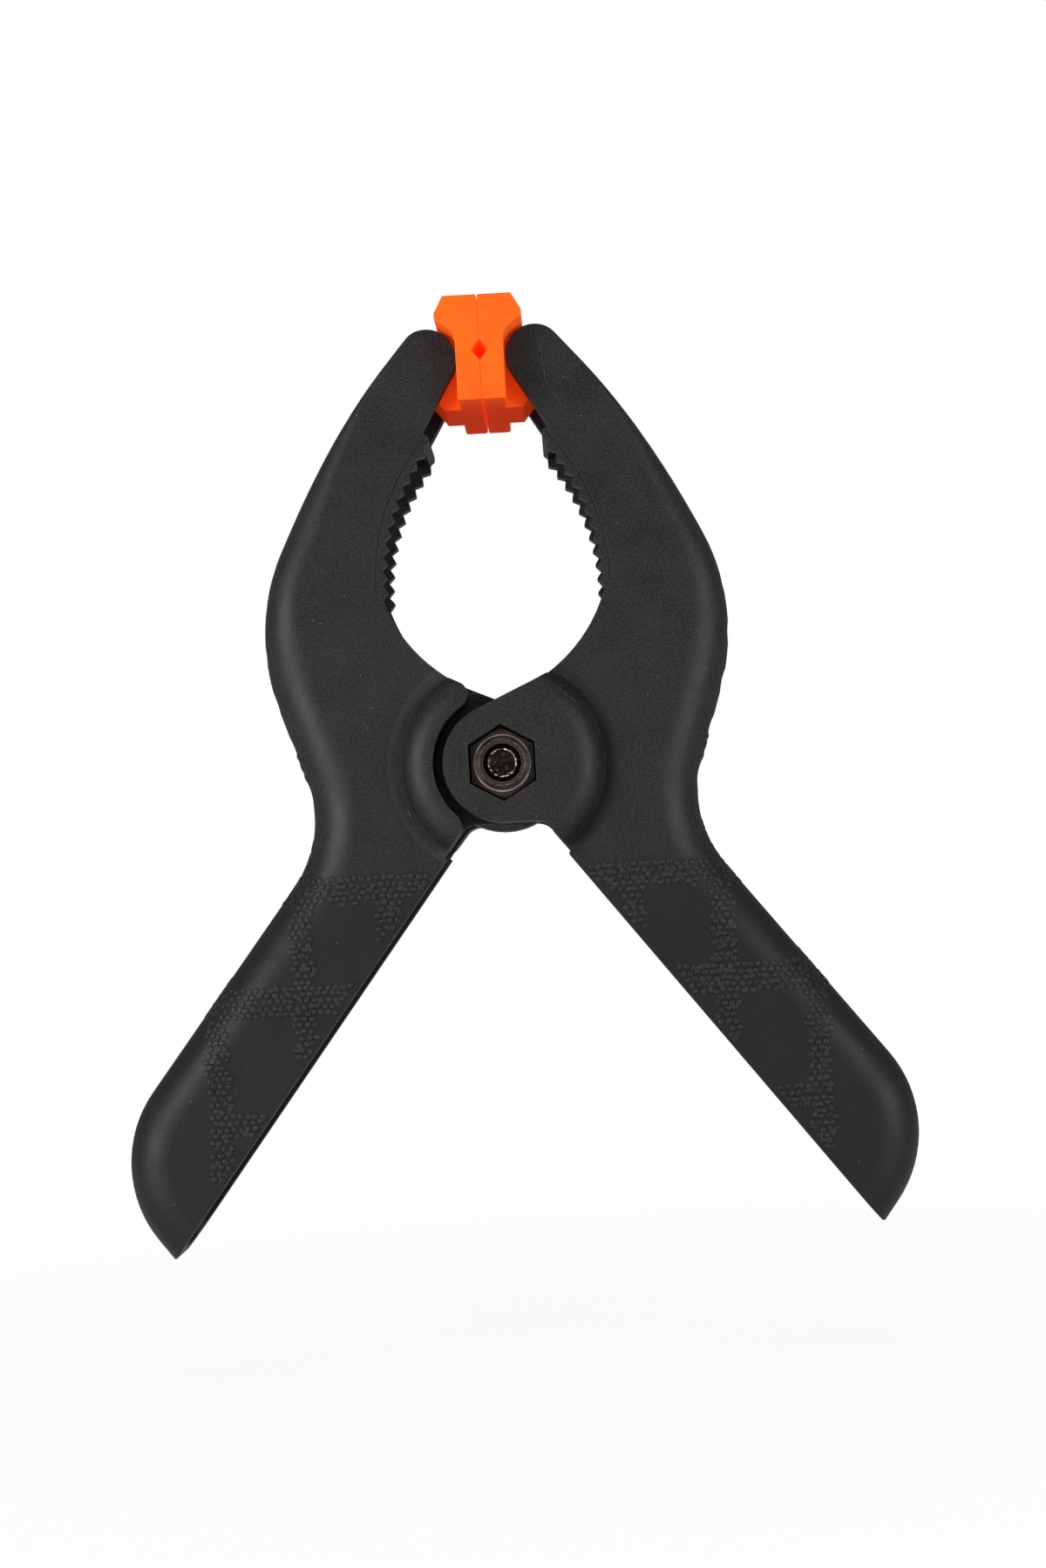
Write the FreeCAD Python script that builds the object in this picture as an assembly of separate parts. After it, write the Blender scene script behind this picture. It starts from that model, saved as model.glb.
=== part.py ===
import FreeCAD, Part
import math
import os

Vector = FreeCAD.Vector

# All sizes are millimetres. Outlines are drawn for the right arm in the XZ plane about the pivot
# axis, which lies along Y. The left arm is the same moulding turned half a turn about Z.

# Arm: jaw tip, back and handle
ARM_WIDTH = 18.0
WALL = 2.5
PIN_X = 8.7
PIN_Z = 65.3
TIP_RADIUS = 4.75
TIP_WALL = 1.6
JAW_BACK_X = 26.5
JAW_BACK_Z = 51.9
JAW_BACK_RADIUS = 125.0
SHOULDER_X = 40.2
SHOULDER_Z = 23.8
SHOULDER_RADIUS = 34.0
WAIST_X = 29.2
WAIST_Z = -10.1
WAIST_RADIUS = 18.0
HEEL_X = 69.3
HEEL_Z = -61.8
HEEL_RADIUS = 20.0
HANDLE_END_X = 57.6
HANDLE_END_Z = -77.4
HANDLE_END_ROUNDING = 0.8
PATH_OVERRUN = 15.0
RIM_X = 9.75
RIM_Z = -14.7
RIM_STEP = 0.5

# Rounding of the long back edges, growing from the jaw tip to the shoulder
TIP_EDGE_ROUNDING = 0.7
SHOULDER_EDGE_ROUNDING = 5.0
BACK_EDGE_ROUNDING = 7.0

# The back is five straight runs joined by arcs behind the jaw, at the shoulder, waist and heel
BACK_RUNS = 9

# Arm: toothed jaw and throat
FLANK_X = 10.2
FLANK_Z = 53.6
BLOCK_STEP = 1.1
BLOCK_HEIGHT = 1.0
TOOTH_TOP_X = 9.8
TOOTH_TOP_Z = 49.9
TOOTH_MIDDLE_X = 15.1
TOOTH_MIDDLE_Z = 40.2
TOOTH_BOTTOM_X = 16.9
TOOTH_BOTTOM_Z = 28.5
TOOTH_COUNT = 11
TOOTH_DEPTH = 0.95
TOOTH_TIP_ROUNDING = 0.28
TOOTH_ROOT_ROUNDING = 0.12
THROAT_X = 13.9
THROAT_Z = 16.5
THROAT_RADIUS = 24.5
WEB_THICKNESS = 2.0
SCRIBE_DISTANCE = 0.8
SCRIBE_WIDTH = 0.16
SCRIBE_DEPTH = 0.12

# Finger dimples in the back, from a distance behind the jaw tip down to the waist
DIMPLE_START = 26.7
DIMPLE_COUNT = 7
DIMPLE_PITCH = 7.9
DIMPLE_LENGTH = 5.0
DIMPLE_DEPTH = 0.6
DIMPLE_CROWN_RADIUS = 26.0

# Hub: each arm has an outer ear on one side and an inner ear on the other
EAR_RADIUS = 9.4
EAR_CROOK_ROUNDING = 3.0
DOME_RADIUS = 16.3
DOME_ROUNDING = 4.6
RING_WIDTH = 2.2
RING_DEPTH = 0.35
RECESS_RADIUS = 11.0
CRESCENT_ROUNDING = 2.2
POCKET_DEPTH = 6.0
POCKET_FLOOR = 1.2
EAR_SINK = 0.2
EAR_GAP = 0.1
INNER_EAR_THICKNESS = 1.6
BOSS_RADIUS = 6.4
BOSS_GAP = 0.2
RUNNING_CLEARANCE = 0.05

# Swivel pin moulded between the cheeks of the jaw tip, and the pad that snaps onto it
PIN_RADIUS = 1.25
LUG_CLEARANCE = 0.2
PAD_WIDTH = 28.0
PAD_BOTTOM_Z = 57.4
PAD_TOP_Z = 74.0
PAD_THICKNESS = 3.8
PAD_HEAD_X = 6.9
PAD_HEAD_Z = 71.3
PAD_HEAD_EDGE = 0.9
PAD_CROWN_X = 5.4
PAD_NECK_Z = 68.2
PAD_NECK_ROUNDING = 2.5
PAD_CORNER_ROUNDING = 0.4
PAD_FACE_GAP = 0.05
GROOVE_DEPTH = 1.35
GROOVE_HEIGHT = 3.3
GUIDE_DEPTH = 0.8
TONGUE_CLEARANCE = 0.3
TONGUE_X = 8.6
TONGUE_BEVEL = 2.9
TONGUE_FOOT_X = 6.3
MOUTH_WIDTH = 1.8

# Pivot bolt, lock nut and nylon ring
BOLT_DIAMETER = 6.0
BOLT_END_DIAMETER = 4.7
BOLT_END_DEPTH = 0.8
HEX_ACROSS_FLATS = 10.0
HEX_GAP = 0.3
HEAD_HEIGHT = 4.0
NUT_HEIGHT = 5.7
NUT_HEX_HEIGHT = 4.3
CHAMFER_DIAMETER = 9.1
CHAMFER_ANGLE = 30.0
COLLAR_DIAMETER = 8.9
COLLAR_OPENING = 7.1
COLLAR_LIP = 0.2
COLLAR_ROLL = 0.35
COLLAR_LEDGE = 0.25
INSERT_SINK = 0.3
INSERT_HEIGHT = 1.5
INSERT_WALL = 0.9
INSERT_CLEARANCE = 0.03

# Torsion spring
WIRE_DIAMETER = 2.6
COIL_RADIUS = 9.4
COIL_TURNS = 2
COIL_PITCH = 2.72
LEG_LENGTH = 40.0
LEG_WALL_GAP = 0.25

# Levels across the clamp, measured from the middle plane
cheek_face = ARM_WIDTH / 2
cavity_half = cheek_face - WALL
outer_ear_inside = cavity_half - EAR_SINK
inner_ear_outside = outer_ear_inside - EAR_GAP
inner_ear_inside = inner_ear_outside - INNER_EAR_THICKNESS
pocket_floor = outer_ear_inside + POCKET_FLOOR
ear_face = pocket_floor + POCKET_DEPTH
hub_width = 2 * ear_face
bore_radius = BOLT_DIAMETER / 2 + RUNNING_CLEARANCE
beyond = 200.0


def flat(x, z):
    """A point of the outline plane."""
    return Vector(x, 0, z)


def tangent_point(centre, radius, point, side):
    """Where the tangent from the point touches the circle; side 1 is anticlockwise of the point."""
    reach = point - centre
    angle = math.atan2(reach.z, reach.x) + side * math.acos(radius / reach.Length)
    return centre + flat(radius * math.cos(angle), radius * math.sin(angle))


def crossing(start_a, end_a, start_b, end_b):
    """The point where two straight lines of the outline plane cross."""
    along_a = end_a - start_a
    along_b = end_b - start_b
    gap = start_b - start_a
    cross = along_a.x * along_b.z - along_a.z * along_b.x
    share = (gap.x * along_b.z - gap.z * along_b.x) / cross
    return start_a + along_a * share


def unit(vector):
    """The same direction with length 1."""
    return vector * (1.0 / vector.Length)


def inward(start, end):
    """The direction to the right of a run of the outline, which is towards the moulding's inside."""
    along = unit(end - start)
    return flat(along.z, -along.x)


def rounded_edges(corners, closed=True):
    """Straight runs joined by tangent arcs; a corner is a point with the radius of its arc."""
    count = len(corners)
    bends = []
    for index, (point, radius) in enumerate(corners):
        at_end = not closed and index in (0, count - 1)
        if radius == 0 or at_end:
            bends.append((point, None, point))
            continue
        back = unit(corners[index - 1][0] - point)
        ahead = unit(corners[(index + 1) % count][0] - point)
        half = math.acos(back.dot(ahead)) / 2
        run = radius / math.tan(half)
        middle = unit(back + ahead) * (radius / math.sin(half) - radius)
        bends.append((point + back * run, point + middle, point + ahead * run))
    edges = []
    for index, (start, middle, end) in enumerate(bends):
        if middle is not None:
            edges.append(Part.Arc(start, middle, end).toShape())
        following = bends[(index + 1) % count][0]
        if (closed or index < count - 1) and end.distanceToPoint(following) > 1e-4:
            edges.append(Part.makeLine(end, following))
    return edges


def prism(corners, y_from, y_to):
    """A solid with this rounded outline between two levels across the clamp."""
    face = Part.Face(Part.Wire(rounded_edges(corners)))
    solid = face.extrude(Vector(0, y_to - y_from, 0))
    solid.translate(Vector(0, y_from, 0))
    return solid


def turned(profile):
    """A solid turned about the pivot axis from (radius, level) points joined by straight lines."""
    points = [Vector(radius, level, 0) for radius, level in profile]
    face = Part.Face(Part.makePolygon(points + [points[0]]))
    return face.revolve(Vector(0, 0, 0), Vector(0, 1, 0), 360)


def drum(radius, y_from, y_to, x=0.0, z=0.0):
    """A cylinder along the pivot direction."""
    return Part.makeCylinder(radius, y_to - y_from, Vector(x, y_from, z), Vector(0, 1, 0))


def hexagon(across_flats, y_from, y_to):
    """A hexagonal bar along the pivot axis, with flats facing left and right."""
    reach = across_flats / math.sqrt(3)
    corners = []
    for step in range(6):
        angle = math.radians(30 + 60 * step)
        corners.append((flat(reach * math.cos(angle), reach * math.sin(angle)), 0))
    return prism(corners, y_from, y_to)


pin = flat(PIN_X, PIN_Z)
jaw_back = flat(JAW_BACK_X, JAW_BACK_Z)
shoulder = flat(SHOULDER_X, SHOULDER_Z)
waist = flat(WAIST_X, WAIST_Z)
heel = flat(HEEL_X, HEEL_Z)
handle_end = flat(HANDLE_END_X, HANDLE_END_Z)
flank = flat(FLANK_X, FLANK_Z)
throat = flat(THROAT_X, THROAT_Z)
rim = flat(RIM_X, RIM_Z)
tip_back = tangent_point(pin, TIP_RADIUS, jaw_back, 1)
tip_flank = tangent_point(pin, TIP_RADIUS, flank, -1)


def on_jaw(place, depth):
    """A point by the row of teeth: how many teeth below the top one, and how far behind the tips."""
    top = flat(TOOTH_TOP_X, TOOTH_TOP_Z)
    middle = flat(TOOTH_MIDDLE_X, TOOTH_MIDDLE_Z)
    bottom = flat(TOOTH_BOTTOM_X, TOOTH_BOTTOM_Z)
    centre = Part.Arc(top, middle, bottom).toShape().Curve.Center
    first = math.atan2(top.z - centre.z, top.x - centre.x)
    last = math.atan2(bottom.z - centre.z, bottom.x - centre.x)
    angle = first + place * (last - first) / (TOOTH_COUNT - 1)
    reach = top.distanceToPoint(centre) + depth
    return centre + flat(reach * math.cos(angle), reach * math.sin(angle))


def tooth_corners():
    """The zigzag of the jaw from the throat up to the square block above the top tooth."""
    corners = []
    for tooth in reversed(range(TOOTH_COUNT)):
        corners.append((on_jaw(tooth + 0.5, TOOTH_DEPTH), TOOTH_ROOT_ROUNDING))
        corners.append((on_jaw(tooth, 0), TOOTH_TIP_ROUNDING))
    corners.append((on_jaw(-0.5, TOOTH_DEPTH), TOOTH_ROOT_ROUNDING))
    block = flank + flat(-BLOCK_STEP, -BLOCK_STEP / 2)
    corners.append((block + flat(0, -BLOCK_HEIGHT), TOOTH_TIP_ROUNDING))
    corners.append((block, TOOTH_TIP_ROUNDING))
    return corners


def arm_outline():
    """The whole side view of the right arm, clockwise from the jaw tip."""
    apex = crossing(jaw_back, tip_back, flank, tip_flank)
    rim_inner = rim + inward(rim, handle_end) * -RIM_STEP
    ear_bottom = flat(0, -EAR_RADIUS)
    crook = crossing(rim_inner, rim_inner + handle_end - rim, ear_bottom, ear_bottom + flat(1, 0))
    ear_top = tangent_point(flat(0, 0), EAR_RADIUS, throat, 1)
    ear_left = flat(-EAR_RADIUS, 0)
    ear_high = crossing(throat, ear_top, ear_left, ear_left + flat(0, 1))
    corners = [
        (apex, TIP_RADIUS),
        (jaw_back, JAW_BACK_RADIUS),
        (shoulder, SHOULDER_RADIUS),
        (waist, WAIST_RADIUS),
        (heel, HEEL_RADIUS),
        (handle_end, HANDLE_END_ROUNDING),
        (rim, 0),
        (rim_inner, 0),
        (crook, EAR_CROOK_ROUNDING),
        (flat(-EAR_RADIUS, -EAR_RADIUS), EAR_RADIUS),
        (ear_high, EAR_RADIUS),
        (throat, THROAT_RADIUS),
    ]
    corners += tooth_corners()
    corners.append((flank, 0))
    return corners


def back_path(depth):
    """The back of the arm as an open path, moved inside by a depth; its arcs stay concentric."""
    above = tip_back + unit(tip_back - jaw_back) * PATH_OVERRUN
    below = handle_end + unit(handle_end - heel) * PATH_OVERRUN
    points = [above, jaw_back, shoulder, waist, heel, below]
    radii = [0, JAW_BACK_RADIUS, SHOULDER_RADIUS, WAIST_RADIUS, HEEL_RADIUS, 0]
    last = len(points) - 1
    path = []
    for index, point in enumerate(points):
        before = inward(points[max(index - 1, 0)], points[max(index, 1)])
        after = inward(points[min(index, last - 1)], points[min(index + 1, last)])
        moved = point + (before + after) * (depth / (1 + before.dot(after)))
        turn = before.x * after.z - before.z * after.x
        radius = radii[index]
        if radius:
            radius += depth if turn > 0 else -depth
        path.append((moved, radius))
    return path


def round_back_edges(solid, path, radii):
    """Rounds the two edges that a path makes on a prism; radii gives each run's start and end."""
    runs = rounded_edges(path, closed=False)
    document = FreeCAD.newDocument("rounding")
    base = document.addObject("Part::Feature", "base")
    base.Shape = solid
    rounding = document.addObject("Part::Fillet", "rounding")
    rounding.Base = base
    chosen = []
    for number, edge in enumerate(solid.Edges, 1):
        middle = edge.valueAt((edge.FirstParameter + edge.LastParameter) / 2)
        ends_level = edge.Vertexes[0].Y == edge.Vertexes[-1].Y
        mark = Part.Vertex(flat(middle.x, middle.z))
        for run, (start, end) in zip(runs, radii):
            if ends_level and run.distToShape(mark)[0] < 1e-6:
                chosen.append((number, start, end))
    rounding.Edges = chosen
    document.recompute()
    result = rounding.Shape.copy()
    FreeCAD.closeDocument(document.Name)
    return result


def side_closing(path):
    """Corners that close a back path far beyond the inner side of the arm."""
    return [(flat(-beyond, path[-1][0].z), 0), (flat(-beyond, path[0][0].z), 0)]


def above_web(shift):
    """All that lies above a line square to the back of the jaw, moved down the jaw by a distance."""
    down = unit(shoulder - tip_back)
    across = inward(tip_back, shoulder)
    middle = flank + down * shift
    corners = [middle - across * beyond, middle + across * beyond]
    corners += [corner - down * beyond for corner in reversed(corners)]
    return prism([(corner, 0) for corner in corners], -hub_width, hub_width)


def main_cavity():
    """The channel inside the arm from the web down to the heel, open on its inner side."""
    path = back_path(WALL)
    solid = prism(path + side_closing(path), -cavity_half, cavity_half)
    rounding = BACK_EDGE_ROUNDING - WALL
    solid = round_back_edges(solid, path, [(rounding, rounding)] * BACK_RUNS)
    return solid.cut(above_web(WEB_THICKNESS))


def tip_recess():
    """The slot between the cheeks of the jaw tip that takes the tongue of the pad."""
    path = back_path(TIP_WALL)
    inner_radius = TIP_RADIUS - TIP_WALL
    ceiling = pin + flat(0, inner_radius)
    top = crossing(ceiling, ceiling + flat(1, 0), path[0][0], path[1][0])
    corners = [(top, inner_radius), path[1], (path[2][0], 0), (flat(-beyond, path[2][0].z), 0),
               (flat(-beyond, ceiling.z), 0)]
    return prism(corners, -cavity_half, cavity_half).common(above_web(0))


def dimples():
    """Shallow oval finger dimples, evenly spaced down the back from where the jaw's back bends."""
    runs = rounded_edges(back_path(0), closed=False)
    half = DIMPLE_LENGTH / 2
    radius = (half ** 2 + DIMPLE_DEPTH ** 2) / (2 * DIMPLE_DEPTH)
    side = ARM_WIDTH / 2
    side_radius = radius - (DIMPLE_CROWN_RADIUS - math.sqrt(DIMPLE_CROWN_RADIUS ** 2 - side ** 2))
    crown = Part.Arc(Vector(side_radius, -side, 0), Vector(radius, 0, 0), Vector(side_radius, side, 0))
    rest = Part.makePolygon([Vector(side_radius, side, 0), Vector(0, side, 0), Vector(0, -side, 0),
                             Vector(side_radius, -side, 0)])
    barrel = Part.Face(Part.Wire([crown.toShape()] + rest.Edges))
    barrel = barrel.revolve(Vector(0, 0, 0), Vector(0, 1, 0), 360)
    cuts = []
    for index in range(DIMPLE_COUNT):
        place = DIMPLE_START + index * DIMPLE_PITCH
        for run in runs[1:]:
            if place <= run.Length:
                break
            place -= run.Length
        parameter = run.getParameterByLength(place)
        along = run.tangentAt(parameter)
        outward = flat(-along.z, along.x)
        cut = barrel.copy()
        cut.translate(run.valueAt(parameter) + outward * (radius - DIMPLE_DEPTH))
        cuts.append(cut)
    return cuts


def scribed_line():
    """The fine line marked in the front cheek just behind the teeth."""
    last = TOOTH_COUNT - 1
    near = TOOTH_DEPTH + SCRIBE_DISTANCE
    far = near + SCRIBE_WIDTH
    edges = [Part.Arc(on_jaw(-1, depth), on_jaw(last / 2, depth), on_jaw(last, depth)).toShape()
             for depth in (near, far)]
    edges += [Part.makeLine(on_jaw(place, near), on_jaw(place, far)) for place in (-1, last)]
    face = Part.Face(Part.Wire(Part.__sortEdges__(edges)))
    line = face.extrude(Vector(0, cheek_face, 0))
    line.translate(Vector(0, SCRIBE_DEPTH - 2 * cheek_face, 0))
    return line


def crescent(outline):
    """The ridge left standing beside the recess that takes the other arm's outer ear."""
    blank = outline.common(drum(DOME_RADIUS, inner_ear_outside, hub_width))
    blank = blank.cut(drum(RECESS_RADIUS, inner_ear_outside, hub_width))
    ends = []
    for edge in blank.Edges:
        start, end = edge.Vertexes[0].Point, edge.Vertexes[-1].Point
        upright = edge.Length > 1e-6 and abs(abs(start.y - end.y) - edge.Length) < 1e-6
        if upright and abs(flat(start.x, start.z).Length - RECESS_RADIUS) < 1e-6:
            ends.append(edge)
    return dome(inner_ear_outside).common(blank.makeFillet(CRESCENT_ROUNDING, ends))


def dome(y_from):
    """The hub's round boss from an inner level up to its flat face, with a quarter-round shoulder."""
    flat_radius = DOME_RADIUS - DOME_ROUNDING
    base = ear_face - DOME_ROUNDING
    slant = math.sqrt(0.5) * DOME_ROUNDING
    shoulder_arc = Part.Arc(Vector(DOME_RADIUS, base, 0),
                            Vector(flat_radius + slant, base + slant, 0),
                            Vector(flat_radius, ear_face, 0))
    rest = Part.makePolygon([Vector(flat_radius, ear_face, 0), Vector(0, ear_face, 0),
                             Vector(0, y_from, 0), Vector(DOME_RADIUS, y_from, 0),
                             Vector(DOME_RADIUS, base, 0)])
    face = Part.Face(Part.Wire([shoulder_arc.toShape()] + rest.Edges))
    return face.revolve(Vector(0, 0, 0), Vector(0, 1, 0), 360)


def mirrored(solid):
    """The same solid on the other side of the middle plane."""
    return solid.mirror(Vector(0, 0, 0), Vector(0, 1, 0))


def arm():
    """The right arm: outer ear in front, inner ear behind."""
    path = back_path(0)
    blank = prism(path + side_closing(path), -cheek_face, cheek_face)
    roundings = [(TIP_EDGE_ROUNDING, TIP_EDGE_ROUNDING),
                 (TIP_EDGE_ROUNDING, SHOULDER_EDGE_ROUNDING),
                 (SHOULDER_EDGE_ROUNDING, SHOULDER_EDGE_ROUNDING),
                 (SHOULDER_EDGE_ROUNDING, BACK_EDGE_ROUNDING)]
    roundings += [(BACK_EDGE_ROUNDING, BACK_EDGE_ROUNDING)] * (BACK_RUNS - len(roundings))
    blank = round_back_edges(blank, path, roundings)
    outline = prism(arm_outline(), -hub_width, hub_width)
    body = blank.common(outline).cut([main_cavity(), tip_recess()])
    ring_edge = DOME_RADIUS + RING_WIDTH
    ring = turned([(0, cheek_face - RING_DEPTH), (DOME_RADIUS, cheek_face - RING_DEPTH),
                   (ring_edge, cheek_face), (ring_edge, hub_width), (0, hub_width)])
    body = body.cut([ring, mirrored(ring)])
    outer_ear = mirrored(dome(outer_ear_inside)).common(outline)
    inner_ear = drum(DOME_RADIUS, inner_ear_inside, inner_ear_outside).common(outline)
    body = body.cut(drum(DOME_RADIUS, inner_ear_outside, hub_width))
    boss = drum(BOSS_RADIUS, BOSS_GAP / 2, inner_ear_inside)
    swivel_pin = drum(PIN_RADIUS, -cavity_half, cavity_half, PIN_X, PIN_Z)
    body = body.fuse([outer_ear, inner_ear, crescent(outline), boss, swivel_pin])
    bore = drum(bore_radius, -hub_width, hub_width)
    pocket = hexagon(HEX_ACROSS_FLATS + 2 * HEX_GAP, -hub_width, -pocket_floor)
    body = body.cut([bore, pocket, scribed_line(), mirrored(scribed_line())] + dimples())
    return body.removeSplitter()


def pad():
    """The right jaw pad: a gripping plate with a head above and a tongue that snaps on the pin."""
    lug_radius = TIP_RADIUS - TIP_WALL - LUG_CLEARANCE
    face = PAD_FACE_GAP
    groove = GROOVE_HEIGHT / 2
    corners = [
        (flat(face, PAD_BOTTOM_Z), PAD_CORNER_ROUNDING),
        (flat(face, PIN_Z - groove), 0),
        (flat(face + GROOVE_DEPTH, PIN_Z), 0),
        (flat(face, PIN_Z + groove), 0),
        (flat(face, PAD_TOP_Z), PAD_CORNER_ROUNDING),
        (flat(PAD_CROWN_X, PAD_TOP_Z), PAD_CORNER_ROUNDING),
        (flat(PAD_HEAD_X, PAD_HEAD_Z), PAD_CORNER_ROUNDING),
        (flat(PAD_HEAD_X, PAD_HEAD_Z - PAD_HEAD_EDGE), PAD_CORNER_ROUNDING),
        (flat(PAD_THICKNESS, PAD_NECK_Z), PAD_NECK_ROUNDING),
        (flat(PAD_THICKNESS, PAD_BOTTOM_Z), PAD_CORNER_ROUNDING),
    ]
    plate = prism(corners, -PAD_WIDTH / 2, PAD_WIDTH / 2)
    root_x = PAD_THICKNESS / 2
    edge_x = PIN_X + lug_radius
    tongue_corners = [
        (flat(root_x, PIN_Z + lug_radius), 0),
        (flat(edge_x, PIN_Z + lug_radius), lug_radius),
        (flat(edge_x, PIN_Z - lug_radius / 2), lug_radius / 2),
        (flat(TONGUE_X, PAD_BOTTOM_Z + TONGUE_BEVEL), PAD_CORNER_ROUNDING),
        (flat(TONGUE_FOOT_X, PAD_BOTTOM_Z), PAD_CORNER_ROUNDING),
        (flat(root_x, PAD_BOTTOM_Z), 0),
    ]
    tongue_half = cavity_half - TONGUE_CLEARANCE
    tongue = prism(tongue_corners, -tongue_half, tongue_half)
    solid = plate.fuse(tongue)
    bore = drum(PIN_RADIUS + RUNNING_CLEARANCE, -PAD_WIDTH, PAD_WIDTH, PIN_X, PIN_Z)
    mouth_corner = Vector(PIN_X, -tongue_half, PIN_Z - MOUTH_WIDTH / 2)
    mouth = Part.makeBox(PAD_WIDTH, 2 * tongue_half, MOUTH_WIDTH, mouth_corner)
    guide_points = [Vector(face, -GUIDE_DEPTH, 0), Vector(face + GUIDE_DEPTH, 0, 0),
                    Vector(face, GUIDE_DEPTH, 0), Vector(face - 1, 0, 0), Vector(face, -GUIDE_DEPTH, 0)]
    guide = Part.Face(Part.makePolygon(guide_points)).extrude(Vector(0, 0, beyond))
    return solid.cut([bore, mouth, guide]).removeSplitter()


def hexagonal_fastener(y_from, y_to, chamfered_level):
    """A hexagonal head or nut body whose corners are turned down at one face."""
    bar = hexagon(HEX_ACROSS_FLATS, y_from, y_to)
    corner_radius = HEX_ACROSS_FLATS / math.sqrt(3) + 1
    drop = (corner_radius - CHAMFER_DIAMETER / 2) * math.tan(math.radians(CHAMFER_ANGLE))
    inside = 1 if chamfered_level == y_from else -1
    far_level = y_to if inside == 1 else y_from
    limit = turned([(0, chamfered_level), (CHAMFER_DIAMETER / 2, chamfered_level),
                    (corner_radius, chamfered_level + inside * drop), (corner_radius, far_level),
                    (0, far_level)])
    return bar.common(limit)


def pivot_bolt():
    """The hexagon-head bolt: head trapped in the left arm's pocket behind, flat end in front."""
    head = hexagonal_fastener(pocket_floor, pocket_floor + HEAD_HEIGHT, pocket_floor + HEAD_HEIGHT)
    end = -(pocket_floor + NUT_HEIGHT - BOLT_END_DEPTH)
    radius = BOLT_DIAMETER / 2
    end_radius = BOLT_END_DIAMETER / 2
    shank = turned([(0, pocket_floor), (radius, pocket_floor), (radius, end + radius - end_radius),
                    (end_radius, end), (0, end)])
    return head.fuse(shank).removeSplitter()


def nut_levels():
    """Levels of the nut in front of the clamp: seat, top of the hexagon, top of the collar."""
    seat = -pocket_floor
    return seat, seat - NUT_HEX_HEIGHT, seat - NUT_HEIGHT


def lock_nut():
    """The hexagonal lock nut with its rolled collar."""
    seat, hex_top, top = nut_levels()
    body = hexagonal_fastener(hex_top, seat, hex_top)
    opening = COLLAR_OPENING / 2
    collar_radius = COLLAR_DIAMETER / 2
    groove_radius = BOLT_DIAMETER / 2 + RUNNING_CLEARANCE + INSERT_WALL + INSERT_CLEARANCE
    roll_radius = (opening + collar_radius) / 2 + COLLAR_LEDGE
    collar = turned([(0, seat), (collar_radius, seat), (collar_radius, hex_top),
                     (roll_radius, top + COLLAR_ROLL), (opening + COLLAR_LIP, top), (0, top)])
    body = body.fuse(collar)
    groove_floor = top + INSERT_SINK + INSERT_HEIGHT
    bores = [drum(bore_radius, -hub_width, 0), drum(opening, -hub_width, groove_floor),
             drum(groove_radius, top + INSERT_SINK, groove_floor)]
    return body.cut(bores).removeSplitter()


def nut_insert():
    """The nylon ring held in the collar of the lock nut."""
    top = nut_levels()[2]
    floor = top + INSERT_SINK + INSERT_HEIGHT
    outer = BOLT_DIAMETER / 2 + RUNNING_CLEARANCE + INSERT_WALL
    ring = drum(outer, top + INSERT_SINK + INSERT_CLEARANCE, floor)
    return ring.cut(drum(bore_radius, -hub_width, 0))


def torsion_spring():
    """The coil about the pivot with one straight leg down the inside of each handle."""
    # Each leg leans outwards until its end bears on the inside of the handle's back wall.
    wall_path = back_path(WALL)
    wall_start = wall_path[3][0]
    wall_end = wall_path[4][0]
    wall_distance = -wall_start.dot(inward(wall_start, wall_end))
    reach = wall_distance - WIRE_DIAMETER / 2 - LEG_WALL_GAP - COIL_RADIUS
    along = wall_end - wall_start
    leg_angle = math.atan2(along.z, along.x) + math.atan2(reach, LEG_LENGTH)
    start_angle = leg_angle + math.pi / 2
    sweep = 2 * math.pi * COIL_TURNS + math.pi - 2 * start_angle
    length = COIL_PITCH * sweep / (2 * math.pi)
    coil = Part.makeHelix(COIL_PITCH, length, COIL_RADIUS)
    coil.translate(Vector(0, 0, -length / 2))
    coil.rotate(Vector(0, 0, 0), Vector(1, 0, 0), 90)
    coil = mirrored(coil)
    coil.rotate(Vector(0, 0, 0), Vector(0, 1, 0), -math.degrees(start_angle))
    root = flat(COIL_RADIUS * math.cos(start_angle), COIL_RADIUS * math.sin(start_angle))
    root.y = -length / 2
    heading = flat(math.cos(leg_angle), math.sin(leg_angle))
    leg = Part.makeLine(root + heading * LEG_LENGTH, root)
    path = Part.Wire([leg] + coil.Edges + [half_turn(leg)])
    section = Part.Wire(Part.makeCircle(WIRE_DIAMETER / 2, root + heading * LEG_LENGTH, heading))
    return path.makePipeShell([section], True, True)


def half_turn(solid):
    """The same piece on the other side of the clamp."""
    other = solid.copy()
    other.rotate(Vector(0, 0, 0), Vector(0, 0, 1), 180)
    return other


def build():
    """All pieces, standing on the handle ends with the origin midway between them."""
    right_arm = arm()
    right_pad = pad()
    pieces = {
        "left_arm": half_turn(right_arm),
        "right_arm": right_arm,
        "left_pad": half_turn(right_pad),
        "right_pad": right_pad,
        "pivot_bolt": pivot_bolt(),
        "lock_nut": lock_nut(),
        "nut_insert": nut_insert(),
        "torsion_spring": torsion_spring(),
    }
    foot = right_arm.optimalBoundingBox(False, False).ZMin
    for solid in pieces.values():
        solid.translate(Vector(0, 0, -foot))
    print("pivot height", round(-foot, 4))
    return pieces


os.makedirs("parts", exist_ok=True)
for name, solid in build().items():
    solid.exportStep(os.path.join("parts", name + ".step"))
    print(name, len(solid.Solids), round(solid.Volume, 1), solid.isValid())
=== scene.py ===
import math
import random

import bpy
from mathutils import Matrix, Vector


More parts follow.
